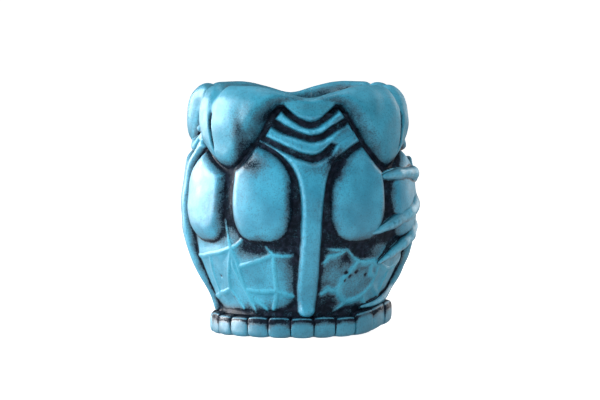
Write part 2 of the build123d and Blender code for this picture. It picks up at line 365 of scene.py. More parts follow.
# Web lines as chains of knots, each an azimuth and a height. The front left web is mirrored to the
# back left, and the front right web to the back right.
WEB_LEFT = [
    [(-5, 38.2), (-9, 38.4), (-20.5, 38.4), (-43.3, 32.2), (-43.5, 21.6), (-20.6, 21.3),
     (-20.5, 38.4)],
    [(-25.5, 44), (-20.5, 38.4)],
    [(-24.5, 13), (-20.6, 21.3), (-6, 19.2)],
    [(-43.5, 21.6), (-29.4, 13)],
    [(-43.3, 32.2), (-46.2, 40.8), (-47.5, 54)],
    [(-38, 11), (-42.5, 20), (-47, 33), (-46.2, 40.8)],
    [(-38, 45), (-46.2, 40.8), (-66, 37.3), (-72, 19), (-57, 21.4), (-46.2, 40.8)],
    [(-57, 21.4), (-48.6, 13)],
    [(-84, 36), (-66, 37.3)],
    [(-72, 19), (-84, 17)],
]
WEB_RIGHT = [
    [(6, 42), (20.5, 40.6), (28.5, 35.2), (40, 34.6), (47, 33), (46, 24), (41, 19), (26.5, 16),
     (18.8, 21.9), (21.5, 27.1), (28.5, 35.2)],
    [(6, 34.5), (10, 37.5), (20.5, 40.6)],
    [(18.8, 21.9), (12, 22.5), (6, 20)],
    [(26.5, 16), (15, 11)],
    [(40, 34.6), (41, 29), (47, 28)],
    [(47, 33), (60, 30), (84, 35)],
    [(41, 19), (50, 12)],
    [(60, 30), (58, 19), (70, 13)],
    [(58, 19), (46, 24)],
]


def web_distance(azimuth, height, corner):
    """Distance from the nearest line of a corner's web."""
    chains = WEB_RIGHT if "right" in corner else WEB_LEFT
    if "back" in corner:
        azimuth = np.sign(CORNERS[corner]) * 180 - azimuth
    nearest = np.full(np.shape(azimuth), 99.0)
    scale = np.radians(1) * wall_radius(height)
    for chain in chains:
        for (a0, z0), (a1, z1) in zip(chain, chain[1:]):
            dx, dz = (a1 - a0) * scale, z1 - z0
            px, pz = wrapped(azimuth - a0) * scale, height - z0
            share = np.clip((px * dx + pz * dz) / (dx * dx + dz * dz), 0, 1)
            sag = 0.6 * np.sin(np.pi * share)
            nearest = np.minimum(nearest, np.hypot(px - share * dx, pz - share * dz + sag))
    return nearest


def web_relief(azimuth, height, corner):
    """Relief of the lines of a corner's web."""
    line = WEB_HALF_WIDTH - web_distance(azimuth, height, corner)
    return rounded(line, WEB_RELIEF, WEB_HALF_WIDTH)


# ---------------------------------------------------------------- roots

# Stations of (azimuth, height, distance from the axis, half thickness), from behind to the tip.
# The stem goes from its top down to the tip that sweeps forward above the coil.
ROOTS = {
    "root_stem": [(90, 79, 50.6, 2.0), (90.5, 70, 51.0, 2.8), (91, 60, 51.2, 3.2),
                  (92, 46, 50.6, 3.6), (90.5, 36, 47.6, 3.5), (89, 29.5, 45.2, 3.2),
                  (84, 22.5, 41.4, 2.5), (71, 17.4, 39.4, 2.1), (56, 14.6, 38.5, 1.6),
                  (42, 13.4, 37.7, 0.7)],
    "root_upper": [(90, 68, 50.8, 2.2), (84, 70.5, 51.4, 2.7), (76, 72.8, 52.2, 3.1),
                   (69, 73.8, 53.0, 3.4), (62, 74.2, 52.8, 2.5), (54, 74.2, 52.6, 2.6),
                   (47, 73.8, 52.2, 2.3), (42, 73.4, 51.6, 1.3)],
    "root_middle": [(90, 71, 50.4, 1.9), (84, 66.5, 50.8, 2.6), (77, 61.5, 51.7, 3.6),
                    (68, 57.6, 52.8, 4.1), (60, 55.6, 52.8, 3.4), (51, 53.2, 52.6, 3.0),
                    (42, 50.4, 52.2, 2.2), (36, 48.6, 51.4, 1.4), (31.5, 47.4, 50.8, 0.6)],
    "root_lower": [(90, 59, 50.5, 2.3), (85, 53, 50.8, 3.1), (78, 48, 51.2, 3.5),
                   (70, 44.7, 51.3, 3.1), (61, 41.6, 50.4, 2.6), (52, 38, 49.0, 2.0),
                   (44, 34, 47.2, 0.8)],
}


def along_path(stations, count):
    """Points along a Catmull-Rom curve through the stations."""
    rows = np.array(stations, float)
    rows = np.vstack([2 * rows[0] - rows[1], rows, 2 * rows[-1] - rows[-2]])
    place = np.linspace(0, len(stations) - 1 - 1e-6, count)
    first, t = place.astype(int), (place % 1)[:, None]
    a, b, c, d = (rows[first + i] for i in range(4))
    return 0.5 * (2 * b + (c - a) * t + (2 * a - 5 * b + 4 * c - d) * t ** 2
                  + (3 * b - a - 3 * c + d) * t ** 3)


def root_relief(azimuth, height, stations):
    """Relief of a root, as seen from outside. It is below 0 away from the root."""
    relief = np.full(np.shape(azimuth), -1.0)
    for a, z, radius, thick in along_path(stations, 120):
        across = np.radians(wrapped(azimuth - a)) * radius
        square = thick ** 2 - across ** 2 - (height - z) ** 2
        stands = radius + np.sqrt(np.maximum(square, 0)) - wall_radius(height)
        relief = np.where(square > 0, np.maximum(relief, stands), relief)
    return relief


# ---------------------------------------------------------------- maps over the whole mug

AZIMUTH_STEP = 0.45
HEIGHT_STEP = 0.4
MAP_AZIMUTHS = np.arange(-180, 180, AZIMUTH_STEP)
MAP_HEIGHTS = np.arange(4, 113, HEIGHT_STEP)


def blurred(values, size):
    """A map blurred by size millimetres."""
    return softened(values, size / HEIGHT_STEP, size / (np.radians(AZIMUTH_STEP) * 48), wraps=True)


def sampled(values, azimuth, height):
    """A map's values at azimuths and heights."""
    wide = np.hstack([values, values[:, :2]])
    column = (azimuth - MAP_AZIMUTHS[0]) / AZIMUTH_STEP % len(MAP_AZIMUTHS)
    return between(wide, column, (height - MAP_HEIGHTS[0]) / HEIGHT_STEP)


def applied_fields():
    """Every piece of applied clay that is a relief, by node: function, settings and window.

    The window is a span of azimuths and a span of heights that the piece lies within.
    """
    fields = {}
    for side, turn in QUARTERS.items():
        span = (turn - 33, turn + 33)
        foot = FRONT_FOOT if side == "front" else 0
        fields[f"ridge_{side}"] = (ridge_relief, (turn, foot), (span, (RIDGE_END - 1, 99)))
        for name, (below, above, reach) in BANDS.items():
            settings = (turn, below, above, reach)
            fields[f"{name}_{side}"] = (band_relief, settings, (span, (80, 105)))
        for hand, sign in (("left", -1), ("right", 1)):
            middle = turn + sign * PAD_OFFSET
            window = ((middle - 20, middle + 20), (PAD_LOW - 3, PAD_HIGH + 3))
            fields[f"pad_{side}_{hand}"] = (pad_relief, (middle,), window)
    for corner, middle in CORNERS.items():
        fields[f"web_{corner}"] = (web_relief, (corner,), ((middle - 44, middle + 44), (9, 56)))
    del fields["ridge_right"]    # the stem of the roots stands there
    return fields


FIELDS = applied_fields()


# The most that clay counts for where the map decides how the dark glaze pools beside it
CLAY_LIMIT = 4.5
COIL_LIMIT = 4.0
ROOT_LIMIT = 7.0


def whole_relief(with_web):
    """Relief of everything on the cup as a map, up to its limits."""
    azimuth, height = np.meshgrid(MAP_AZIMUTHS, MAP_HEIGHTS)
    relief = np.where(height > PETAL_TIP - 2, np.maximum(rim_relief(azimuth, height), 0), 0)
    relief = np.where(height < COIL_TOP, COIL_LIMIT, np.minimum(relief, CLAY_LIMIT))
    for name, (function, settings, ((a0, a1), (z0, z1))) in FIELDS.items():
        if name.startswith("web") and not with_web:
            continue
        near = np.abs(wrapped(azimuth - (a0 + a1) / 2)) < (a1 - a0) / 2
        near &= (height > z0) & (height < z1)
        found = function(azimuth[near], height[near], *settings)
        relief[near] = np.maximum(relief[near], np.minimum(found, CLAY_LIMIT))
    for stations in ROOTS.values():
        found = root_relief(azimuth, height, stations)
        relief = np.maximum(relief, np.minimum(found, ROOT_LIMIT))
    return relief


# Smears of dark glaze on the relief and on the wall: azimuth, height, half width in degrees,
# half height, strength. On the wall they stop at the relief.
RELIEF_SMEARS = [
    (-38, 95, 3.8, 8, 0.75), (-33, 104, 4, 4, 0.3), (1, 105, 8, 1.8, 0.3), (18, 97, 6, 4, 0.5),
    (27, 92, 3, 3, 0.35), (-24, 101, 4, 4, 0.3), (-30, 79, 8, 5, 0.85), (12, 80, 7, 8, 0.85),
    (40, 56, 4, 12, 0.45), (-11, 62, 3, 12, 0.4), (30, 45, 9, 3, 0.4), (-50, 60, 3, 14, 0.4),
    (-27, 46, 6, 2.5, 0.35), (0, 77, 5, 2.5, 0.35)]
WALL_SMEARS = [
    (11, 46, 12, 7, 0.9), (-12, 44, 12, 8, 0.8), (-33, 42, 11, 5, 0.9), (27, 39, 10, 6, 0.8),
    (-9, 26, 5, 14, 0.45), (12, 18, 8, 6, 0.45), (30, 13, 30, 3, 0.4), (-35, 13, 30, 3, 0.4),
    (44, 30, 5, 6, 0.3), (-60, 46, 10, 4, 0.5)]
# Small pits in the web: azimuth and height
PITS = [(22.2, 29.9), (25.3, 28.3), (29.4, 30), (37.3, 28.5), (22.2, 26.3), (-62, 27.5),
        (-56, 18)]

rng = np.random.default_rng(SEED)
RELIEF = whole_relief(False)
WEB_RELIEF_MAP = whole_relief(True)
HAND_MARKS = blurred(rng.normal(size=RELIEF.shape), 3.0)
HAND_MARKS *= 0.15 / HAND_MARKS.std()
FILLET = 0.5 * blurred(RELIEF, 0.9)


def spots(places):
    """Map with soft spots, each an azimuth, a height, its half width and height, and a strength."""
    azimuth, height = np.meshgrid(MAP_AZIMUTHS, MAP_HEIGHTS)
    total = np.zeros_like(azimuth)
    for a, z, wide, high, strength in places:
        away = (wrapped(azimuth - a) / wide) ** 2 + ((height - z) / high) ** 2
        total += strength * np.exp(-away)
    return total


def web_cells():
    """How far the wall is hollowed between the lines of the webs, as a map."""
    azimuth, height = np.meshgrid(MAP_AZIMUTHS, MAP_HEIGHTS)
    hollow = np.zeros_like(azimuth)
    for corner, middle in CORNERS.items():
        near = np.abs(wrapped(azimuth - middle)) < 40
        distance = web_distance(azimuth[near], height[near], corner)
        hollow[near] = CELL_DEPTH * smoothstep(0, 4.5, distance)
    hollow = hollow * smoothstep(48, 40, height) * smoothstep(9, 13, height)
    return hollow + spots([(a, z, 0.9, 0.7, 0.6) for a, z in PITS])


CELLS = web_cells()


def washed():
    """Maps of the dark glaze that gathers in the hollows, and of the wear of the glaze on the edges.

    It pools where the clay around a place stands higher than the place, within 8 to 0.8 mm.
    """
    far = blurred(RELIEF, 8) - RELIEF
    broad = blurred(RELIEF, 4.4) - RELIEF
    close = blurred(RELIEF, 1.8) - RELIEF
    fine = blurred(WEB_RELIEF_MAP, 0.8) - WEB_RELIEF_MAP
    wash_and_shade = smoothstep(0.35, 1.6, broad) + smoothstep(0.25, 1.0, close)
    wash_and_shade = np.clip(wash_and_shade + 0.35 * smoothstep(0.2, 1.2, far), 0, 1)
    wear_and_highlight = smoothstep(0.15, 0.7, WEB_RELIEF_MAP - blurred(WEB_RELIEF_MAP, 1.1))
    wash_and_shade = np.maximum(wash_and_shade, 1.15 * blurred(wash_and_shade, 2.0) - 0.35 * wear_and_highlight)
    wash_and_shade += 0.4 * smoothstep(0.08, 0.4, fine)
    azimuth, height = np.meshgrid(MAP_AZIMUTHS, MAP_HEIGHTS)
    # The wall around the webs was wiped
    bare = smoothstep(49, 40, height) * smoothstep(9, 15, height) * smoothstep(0.8, 0.2, RELIEF)
    wash_and_shade = wash_and_shade * (1 - 0.7 * bare * smoothstep(1.0, 0.45, wash_and_shade))
    shade = on_petal(PETAL_SHADE, azimuth, height)
    wash_and_shade = np.maximum(wash_and_shade, shade * (height > PETAL_TIP))
    wash_and_shade += spots(RELIEF_SMEARS)
    wash_and_shade += spots(WALL_SMEARS) * smoothstep(1.5, 0.4, RELIEF)
    wash_and_shade += spots([(a, z, 1.0, 0.8, 1.0) for a, z in PITS])
    # The cells of the webs are darker than their lines
    cells = smoothstep(0.15, 0.6, CELLS / CELL_DEPTH) * smoothstep(1.0, 0.2, RELIEF)
    wash_and_shade += (0.16 + 0.26 * (azimuth > 0)) * cells * smoothstep(56, 38, np.abs(azimuth))
    wash_and_shade -= 0.5 * smoothstep(0.18, 0.42, WEB_RELIEF_MAP - RELIEF)
    return np.clip(wash_and_shade, 0, 1), wear_and_highlight


POOLED, WORN = washed()


def tone_at(azimuth, height):
    """The two tone columns, darkening and lightening, as rows, at azimuths and heights."""
    wash_and_shade, wear_and_highlight = (sampled(values, azimuth, height) for values in (POOLED, WORN))
    return np.stack([wash_and_shade.ravel(), wear_and_highlight.ravel()], axis=-1)


def even_tone(count, wash_and_shade):
    """The same darkening, and no lightening, for count points."""
    return np.tile([float(wash_and_shade), 0.0], (count, 1))


# ---------------------------------------------------------------- meshes

def add_piece(name, points, faces, tone, material, nodes, flat=()):
    """Links a closed mesh of clay that stands for CAD nodes. Tone has, by point, darkening from wash
    and painted shade, and lightening from wear and painted highlights.
    """
    mesh = bpy.data.meshes.new(name)
    mesh.from_pydata((points * MM).tolist(), [], faces)
    shape = bmesh.new()
    shape.from_mesh(mesh)
    bmesh.ops.recalc_face_normals(shape, faces=shape.faces)
    shape.to_mesh(mesh)
    shape.free()
    smooth = np.ones(len(mesh.polygons), bool)
    smooth[list(flat)] = False
    mesh.polygons.foreach_set("use_smooth", smooth)
    for column, label in enumerate(("wash_and_shade", "wear_and_highlight")):
        attribute = mesh.attributes.new(label, "FLOAT", "POINT")
        attribute.data.foreach_set("value", np.ascontiguousarray(tone[:, column], np.float32))
    piece = bpy.data.objects.new(name, mesh)
    bpy.context.scene.collection.objects.link(piece)
    mesh.materials.append(GLAZES[material])
    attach(piece, "root")
    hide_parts(*nodes)
    return piece


def quads(first, second):
    """Faces between two rows of point numbers of the same length."""
    return np.stack([first[:-1], first[1:], second[1:], second[:-1]], axis=-1)


def tube_faces(rows, count):
    """Faces of a tube of rings whose ends close at two more points after the rings."""
    number = np.arange(rows * count).reshape(rows, count)
    ring = np.hstack([number, number[:, :1]])
    faces = np.vstack([quads(a, b) for a, b in zip(ring, ring[1:])]).tolist()
    hub = rows * count
    faces += [(hub, int(b), int(a)) for a, b in zip(ring[0], ring[0][1:])]
    faces += [(hub + 1, int(a), int(b)) for a, b in zip(ring[-1], ring[-1][1:])]
    return faces


def relief_piece(node, material):
    """One piece of applied clay: its relief above the wall, closed by a back inside the wall."""
    function, settings, ((a0, a1), (z0, z1)) = FIELDS[node]
    step, depth, buried = 0.4, 0.9, 1.7
    azimuths = np.linspace(a0, a1, int(np.radians(a1 - a0) * 50 / step))
    heights = np.linspace(z0, z1, int((z1 - z0) / step))
    azimuth, height = np.meshgrid(azimuths, heights)
    relief = function(azimuth, height, *settings)
    if node.startswith("web"):
        relief = np.where(sampled(RELIEF, azimuth, height) > 0.6, -2, relief)
    else:
        relief = softened(np.maximum(relief, -1.5), 1.1, 1.1)
    above = relief > -0.5 * depth
    keep = above[:-1, :-1] | above[1:, :-1] | above[:-1, 1:] | above[1:, 1:]
    for _ in range(3):    # cells that touch only at a corner get their neighbours too
        crossed = (keep[:-1, :-1] == keep[1:, 1:]) & (keep[1:, :-1] == keep[:-1, 1:])
        crossed &= keep[:-1, :-1] != keep[1:, :-1]
        keep[:-1, :-1] |= crossed
        keep[1:, 1:] |= crossed
        keep[1:, :-1] |= crossed
        keep[:-1, 1:] |= crossed
    number = np.arange(azimuth.size).reshape(azimuth.shape)
    corners = [number[:-1, :-1], number[:-1, 1:], number[1:, 1:], number[1:, :-1]]
    front = np.stack([c[keep] for c in corners], axis=-1)
    back = front[:, ::-1] + azimuth.size
    padded = np.pad(keep, 1)
    sides = []
    neighbours = [padded[:-2, 1:-1], padded[1:-1, 2:], padded[2:, 1:-1], padded[1:-1, :-2]]
    for i, neighbour in enumerate(neighbours):
        open_side = keep & ~neighbour
        start, end = corners[i][open_side], corners[(i + 1) % 4][open_side]
        sides.append(np.stack([end, start, start + azimuth.size, end + azimuth.size], axis=-1))
    faces = np.vstack([front, back, *sides])
    base = wall_radius(height) + sampled(HAND_MARKS, azimuth, height)
    outer = on_mug(azimuth, height, base + np.maximum(relief, -depth)).reshape(-1, 3)
    inner = on_mug(azimuth, height, wall_radius(height) - buried).reshape(-1, 3)
    tone = tone_at(azimuth, height)
    used, faces = np.unique(faces, return_inverse=True)
    points = np.vstack([outer, inner])[used]
    faces = faces.reshape(-1, 4).tolist()
    add_piece(f"clay_{node}", points, faces, np.vstack([tone, tone])[used], material, [node])


def cup_piece():
    """The cup: outside with its web cells and fillets, mouth, floor and foot ring."""
    azimuths = np.arange(-180, 180, 0.5)
    count = len(azimuths)
    foot = [(FOOT_INSIDE - 1.5, FOOT_RECESS), (FOOT_INSIDE, FOOT_RECESS - 1.2),
            (FOOT_INSIDE + 1, 0.1), (FOOT_INSIDE + 1.6, 0), (FOOT_RADIUS - 1, 0),
            (FOOT_RADIUS - 0.2, 0.3), (FOOT_RADIUS, 1.2), (FOOT_RADIUS, WALL_BOTTOM - 1)]
    top = WALL_TOP - 1.5    # inside the lip, where the cup's mouth widens to stay out of sight
    inner = [(float(wall_radius(z) - WALL + 1.5 * smoothstep(top - 1.2, top, z)), z)
             for z in np.linspace(top, 14, 90)]
    corner_radius, corner_height = inner[-1]
    for bend in np.radians(np.linspace(0, 90, 12))[1:]:
        inner.append((corner_radius - 9 * (1 - np.cos(bend)),
                      corner_height - (corner_height - FLOOR_TOP) * np.sin(bend)))
    inner += [(15, FLOOR_TOP), (8, FLOOR_TOP)]
    rows, tones = [], []
    # The foot is darker on its side and in its recess than on the ring it stands on.
    for radius, height in foot:
        rows.append(on_mug(azimuths, np.full(count, height), radius))
        tones.append(even_tone(count, 0.9 if height > 1 else 0.1))
    for height in np.arange(WALL_BOTTOM, top, 0.45):
        level = np.full(count, height)
        radius = wall_radius(level) + sampled(HAND_MARKS, azimuths, level)
        radius = radius + sampled(FILLET, azimuths, level) - sampled(CELLS, azimuths, level)
        rows.append(on_mug(azimuths, level, radius))
        tones.append(tone_at(azimuths, level))
    # The inside of the cup and its floor are painted in shade, a little darker towards the top.
    for radius, height in inner:
        rows.append(on_mug(azimuths, np.full(count, height), radius))
        tones.append(even_tone(count, 0.45 + 0.2 * smoothstep(70, 100, height)))
    points = np.vstack(rows + [[[0, 0, FOOT_RECESS]], [[0, 0, FLOOR_TOP]]])
    tone = np.vstack(tones + [even_tone(1, 0.1), even_tone(1, 0.5)])
    add_piece("clay_cup", points, tube_faces(len(rows), count), tone, "wall_glaze", ["cup_wall"])


def rim_section(azimuths):
    """Closed sections through the petals and lip, one row of points per azimuth, and their tone."""
    offset = petal_offset(azimuths)
    low = np.minimum(petal_outline(offset), LIP_SEAM - 0.2)
    notch = 2.3 * np.exp(-((offset - 11.4) / 3.0) ** 2)
    top = rim_height(offset) - notch
    share = smoothstep(38, 24, np.abs(offset))
    knee = top - 2.6 - 3.6 * share
    crest = 40.6 + 2.6 * share
    rows, tones = [], []

    def add_row(radius, height, wash_and_shade, wear_and_highlight=0.0):
        rows.append(on_mug(azimuths, height, radius))
        tone = [np.broadcast_to(value, azimuths.shape) for value in (wash_and_shade, wear_and_highlight)]
        tones.append(np.stack(tone, axis=-1))

    def outer(height):
        marks = sampled(HAND_MARKS, azimuths, np.minimum(height, 108))
        return wall_radius(height) + np.maximum(rim_relief(azimuths, height), -1.2) + 1.6 * marks

    for up in np.linspace(0, 1, 64):
        height = low + (knee - low) * up
        tone = tone_at(azimuths, height)
        add_row(outer(height) - 1.2 * smoothstep(0.02, 0, up), height, tone[:, 0], tone[:, 1])
    # Over the crest the darkening fades and a painted highlight runs along the top of the rim.
    for turn in np.radians(np.linspace(0, 90, 18))[1:]:
        height = knee + (top - knee) * np.sin(turn)
        tone = tone_at(azimuths, height)
        add_row(crest + (outer(height) - crest) * np.cos(turn), height,
                tone[:, 0] * np.cos(turn), 0.3 * np.sin(turn))
    # Down into the mouth the inside is painted in shade.
    drop = 6.0
    for turn in np.radians(np.linspace(0, 90, 12))[1:]:
        height = top - drop * (1 - np.cos(turn))
        add_row(crest - (crest - MOUTH_RADIUS) * np.sin(turn), height,
                smoothstep(0.3, 1.2, float(turn)) * 0.72)
    for up in (0.3, 0.6, 0.85, 1.0):
        height = (top - drop) * (1 - up) + 99.5 * up
        add_row(MOUTH_RADIUS + 2.2 * up ** 3, height, 0.7)
    add_row(np.minimum(wall_radius(low) - 2.6, 44), np.maximum(low, 84), 0.5)
    return np.stack(rows, axis=1), np.stack(tones, axis=1)


def rim_stretch(start, end):
    """Points, faces, tone and flat faces of the petals and lip from one azimuth to another."""
    azimuths = np.linspace(start, end, max(int((end - start) / 0.36), 8))
    points, tone = rim_section(azimuths)
    columns, rows = points.shape[:2]
    faces = tube_faces(columns, rows)
    flat = range(len(faces) - 2 * rows, len(faces))
    hubs = points[[0, -1]].mean(1)
    points = np.vstack([points.reshape(-1, 3), hubs])
    return points, faces, np.vstack([tone.reshape(-1, 2), even_tone(2, 0.5)]), flat


def joined(parts):
    """Several lots of points, faces, tone and flat faces as one."""
    points, faces, tones, flats, start = [], [], [], [], 0
    for part_points, part_faces, part_tone, part_flat in parts:
        flats += [len(faces) + i for i in part_flat]
        faces += [tuple(int(n) + start for n in face) for face in part_faces]
        points.append(part_points)
        tones.append(part_tone)
        start += len(part_points)
    return np.vstack(points), faces, np.vstack(tones), flats


def rim_pieces():
    """Four petals, and the lip that shows between them. Their ends meet face to face."""
    ends = []
    for corner, (middle, outward, stretch) in PETALS.items():
        reaches = (middle - outward * PETAL_REACH, middle + outward * PETAL_REACH * stretch)
        start, end = min(reaches), max(reaches)
        points, faces, tone, flat = rim_stretch(start, end)
        add_piece(f"clay_petal_{corner}", points, faces, tone, "petal_glaze",
                  [f"petal_{corner}"], flat)
        ends.append((start, end))
    ends.sort()
    ends.append((ends[0][0] + 360, ends[0][1] + 360))
    gaps = [rim_stretch(before[1], after[0]) for before, after in zip(ends, ends[1:])]
    points, faces, tone, flat = joined(gaps)
    add_piece("clay_lip", points, faces, tone, "petal_glaze", ["lip"], flat)


def root_piece(node, stations):
    """A tapering root with soft ends, half sunk in the wall."""
    rows = along_path(stations, 90)
    azimuth, height, radius, thick = rows.T
    thick = thick * (1 + 0.07 * np.sin(0.38 * np.arange(len(rows)) + azimuth[0] + height[0]))
    centres = on_mug(azimuth, height, radius)
    tangent = np.gradient(centres, axis=0)
    tangent /= np.linalg.norm(tangent, axis=1)[:, None]
    outward = on_mug(azimuth, np.zeros_like(azimuth), 1.0)
    outward -= (outward * tangent).sum(1)[:, None] * tangent
    outward /= np.linalg.norm(outward, axis=1)[:, None]
    sideways = np.cross(tangent, outward)
    angles = np.radians(np.arange(0, 360, 10))
    stands = np.cos(angles)
    rings, tones = [], []

    def add_ring(i, share, shift):
        centre = centres[i] + tangent[i] * shift
        ring = centre + thick[i] * share * (np.outer(stands, outward[i])
                                            + np.outer(np.sin(angles), sideways[i]))
        rings.append(ring)
        beside = np.hypot(ring[:, 0], ring[:, 1]) - wall_radius(ring[:, 2])
        # Painted shade darkens the root towards its sides and in the crease against the wall, and a
        # painted highlight lightens its outermost crest.
        wash_and_shade = 0.7 * smoothstep(0.8, 0.0, stands) + smoothstep(1.5, 0.2, beside)
        tones.append(np.stack([np.clip(wash_and_shade, 0, 1), smoothstep(0.75, 0.95, stands)], axis=-1))

    ends = np.radians(np.linspace(0, 75, 6))[1:]
    for bend in ends[::-1]:
        add_ring(0, np.cos(bend), -thick[0] * np.sin(bend))
    for i in range(len(rows)):
        add_ring(i, 1.0, 0.0)
    for bend in ends:
        add_ring(-1, np.cos(bend), thick[-1] * np.sin(bend))
    poles = [centres[0] - tangent[0] * thick[0], centres[-1] + tangent[-1] * thick[-1]]
    add_piece(f"clay_{node}", np.vstack(rings + [poles]), tube_faces(len(rings), len(angles)),
              np.vstack(tones + [even_tone(2, 0.5)]), "root_glaze", [node])


COIL_SEGMENTS = 24
COIL_START = 93.2        # azimuth where the coil's raised end is
COIL_INSIDE = 32.6
coil_bottom = soft_curve([(10, 0), (33, 0.5), (45, 1.3), (60, 3.6), (75, 5), (93, 5.6)], 3)
coil_top = soft_curve(
    [(15, COIL_TOP + 1), (33, 10.8), (45, 12.2), (60, 14.4), (72, 16.2), (93, 15.5)], 3)
coil_outside = soft_curve(
    [(-267, 35.5), (-225, 41.2), (20, 41.2), (60, 41.8), (75, 43.2), (93, 43.2)], 3)


def coil_bead(azimuth, half_span):
    """One segment of the coil. Segments stand apart, but run together towards the raised end."""
    angles = np.radians(np.arange(0, 360, 9))
    wide = np.abs(np.cos(angles)) ** 0.45 * np.sign(np.cos(angles))
    high = np.abs(np.sin(angles)) ** 0.45 * np.sign(np.sin(angles))
    merged = 0.82 * smoothstep(28, 42, azimuth)
    uneven = rng.normal(size=3) * (0.25, 0.3, 0.16)
    rows, tones = [], []
    for bend in np.radians(np.linspace(-84, 84, 23)):
        place = azimuth + half_span * np.sin(bend)
        share = 1 - (1 - np.cos(bend) ** 0.16) * (1 - merged)
        share = share * np.sqrt(1 - max(0, (place - 66) / 27.6) ** 2)
        low, top, outside = coil_bottom(place), coil_top(place), coil_outside(place)
        radius = (outside + COIL_INSIDE) / 2 + (outside - COIL_INSIDE) / 2 * share * wide
        slant = 0.6 * np.maximum(high, 0) * (1 + wide) * (1 - merged)
        level = (low + top) / 2 + ((top - low) / 2 * high + uneven[1] * (high > 0) - slant) * share
        rows.append(on_mug(np.full_like(angles, place), level, radius + uneven[0] * (wide > 0)))
        ends = smoothstep(0.86 - 0.1 * high, 0.99, np.abs(np.sin(bend))) * (1 - 0.95 * merged)
        shaded = smoothstep(0.05, 0.6, high + uneven[2] + 0.3 * np.abs(np.sin(bend)) ** 3)
        # A painted highlight runs along each bead's outer top edge, where the dark is taken off.
        corner = np.exp(-((np.degrees(angles) - 47) / 9) ** 2) * (1 - ends)
        rows_tone = [np.clip(ends + shaded - 0.8 * corner, 0, 1), corner]
        tones.append(np.stack(rows_tone, axis=-1))
    poles = [rows[0].mean(0), rows[-1].mean(0)]
    faces = tube_faces(len(rows), len(angles))
    return np.vstack(rows + [poles]), faces, np.vstack(tones + [even_tone(2, 1)]), ()


def coil_pieces():
    """The segmented coil, one piece per side of the mug."""
    pitch = 360 / COIL_SEGMENTS
    groups = {side: [] for side in QUARTERS}
    for i in range(COIL_SEGMENTS):
        azimuth = COIL_START - 360 + (i + 0.5) * pitch
        side = list(QUARTERS)[round(azimuth / 90) % 4]
        groups[side].append(coil_bead(azimuth, pitch / 2 * rng.uniform(1.0, 1.02)))
    for side, beads in groups.items():
        points, faces, tone, _ = joined(beads)
        add_piece(f"clay_coil_{side}", points, faces, tone, "coil_glaze", [f"coil_{side}"])


# ---------------------------------------------------------------- glaze

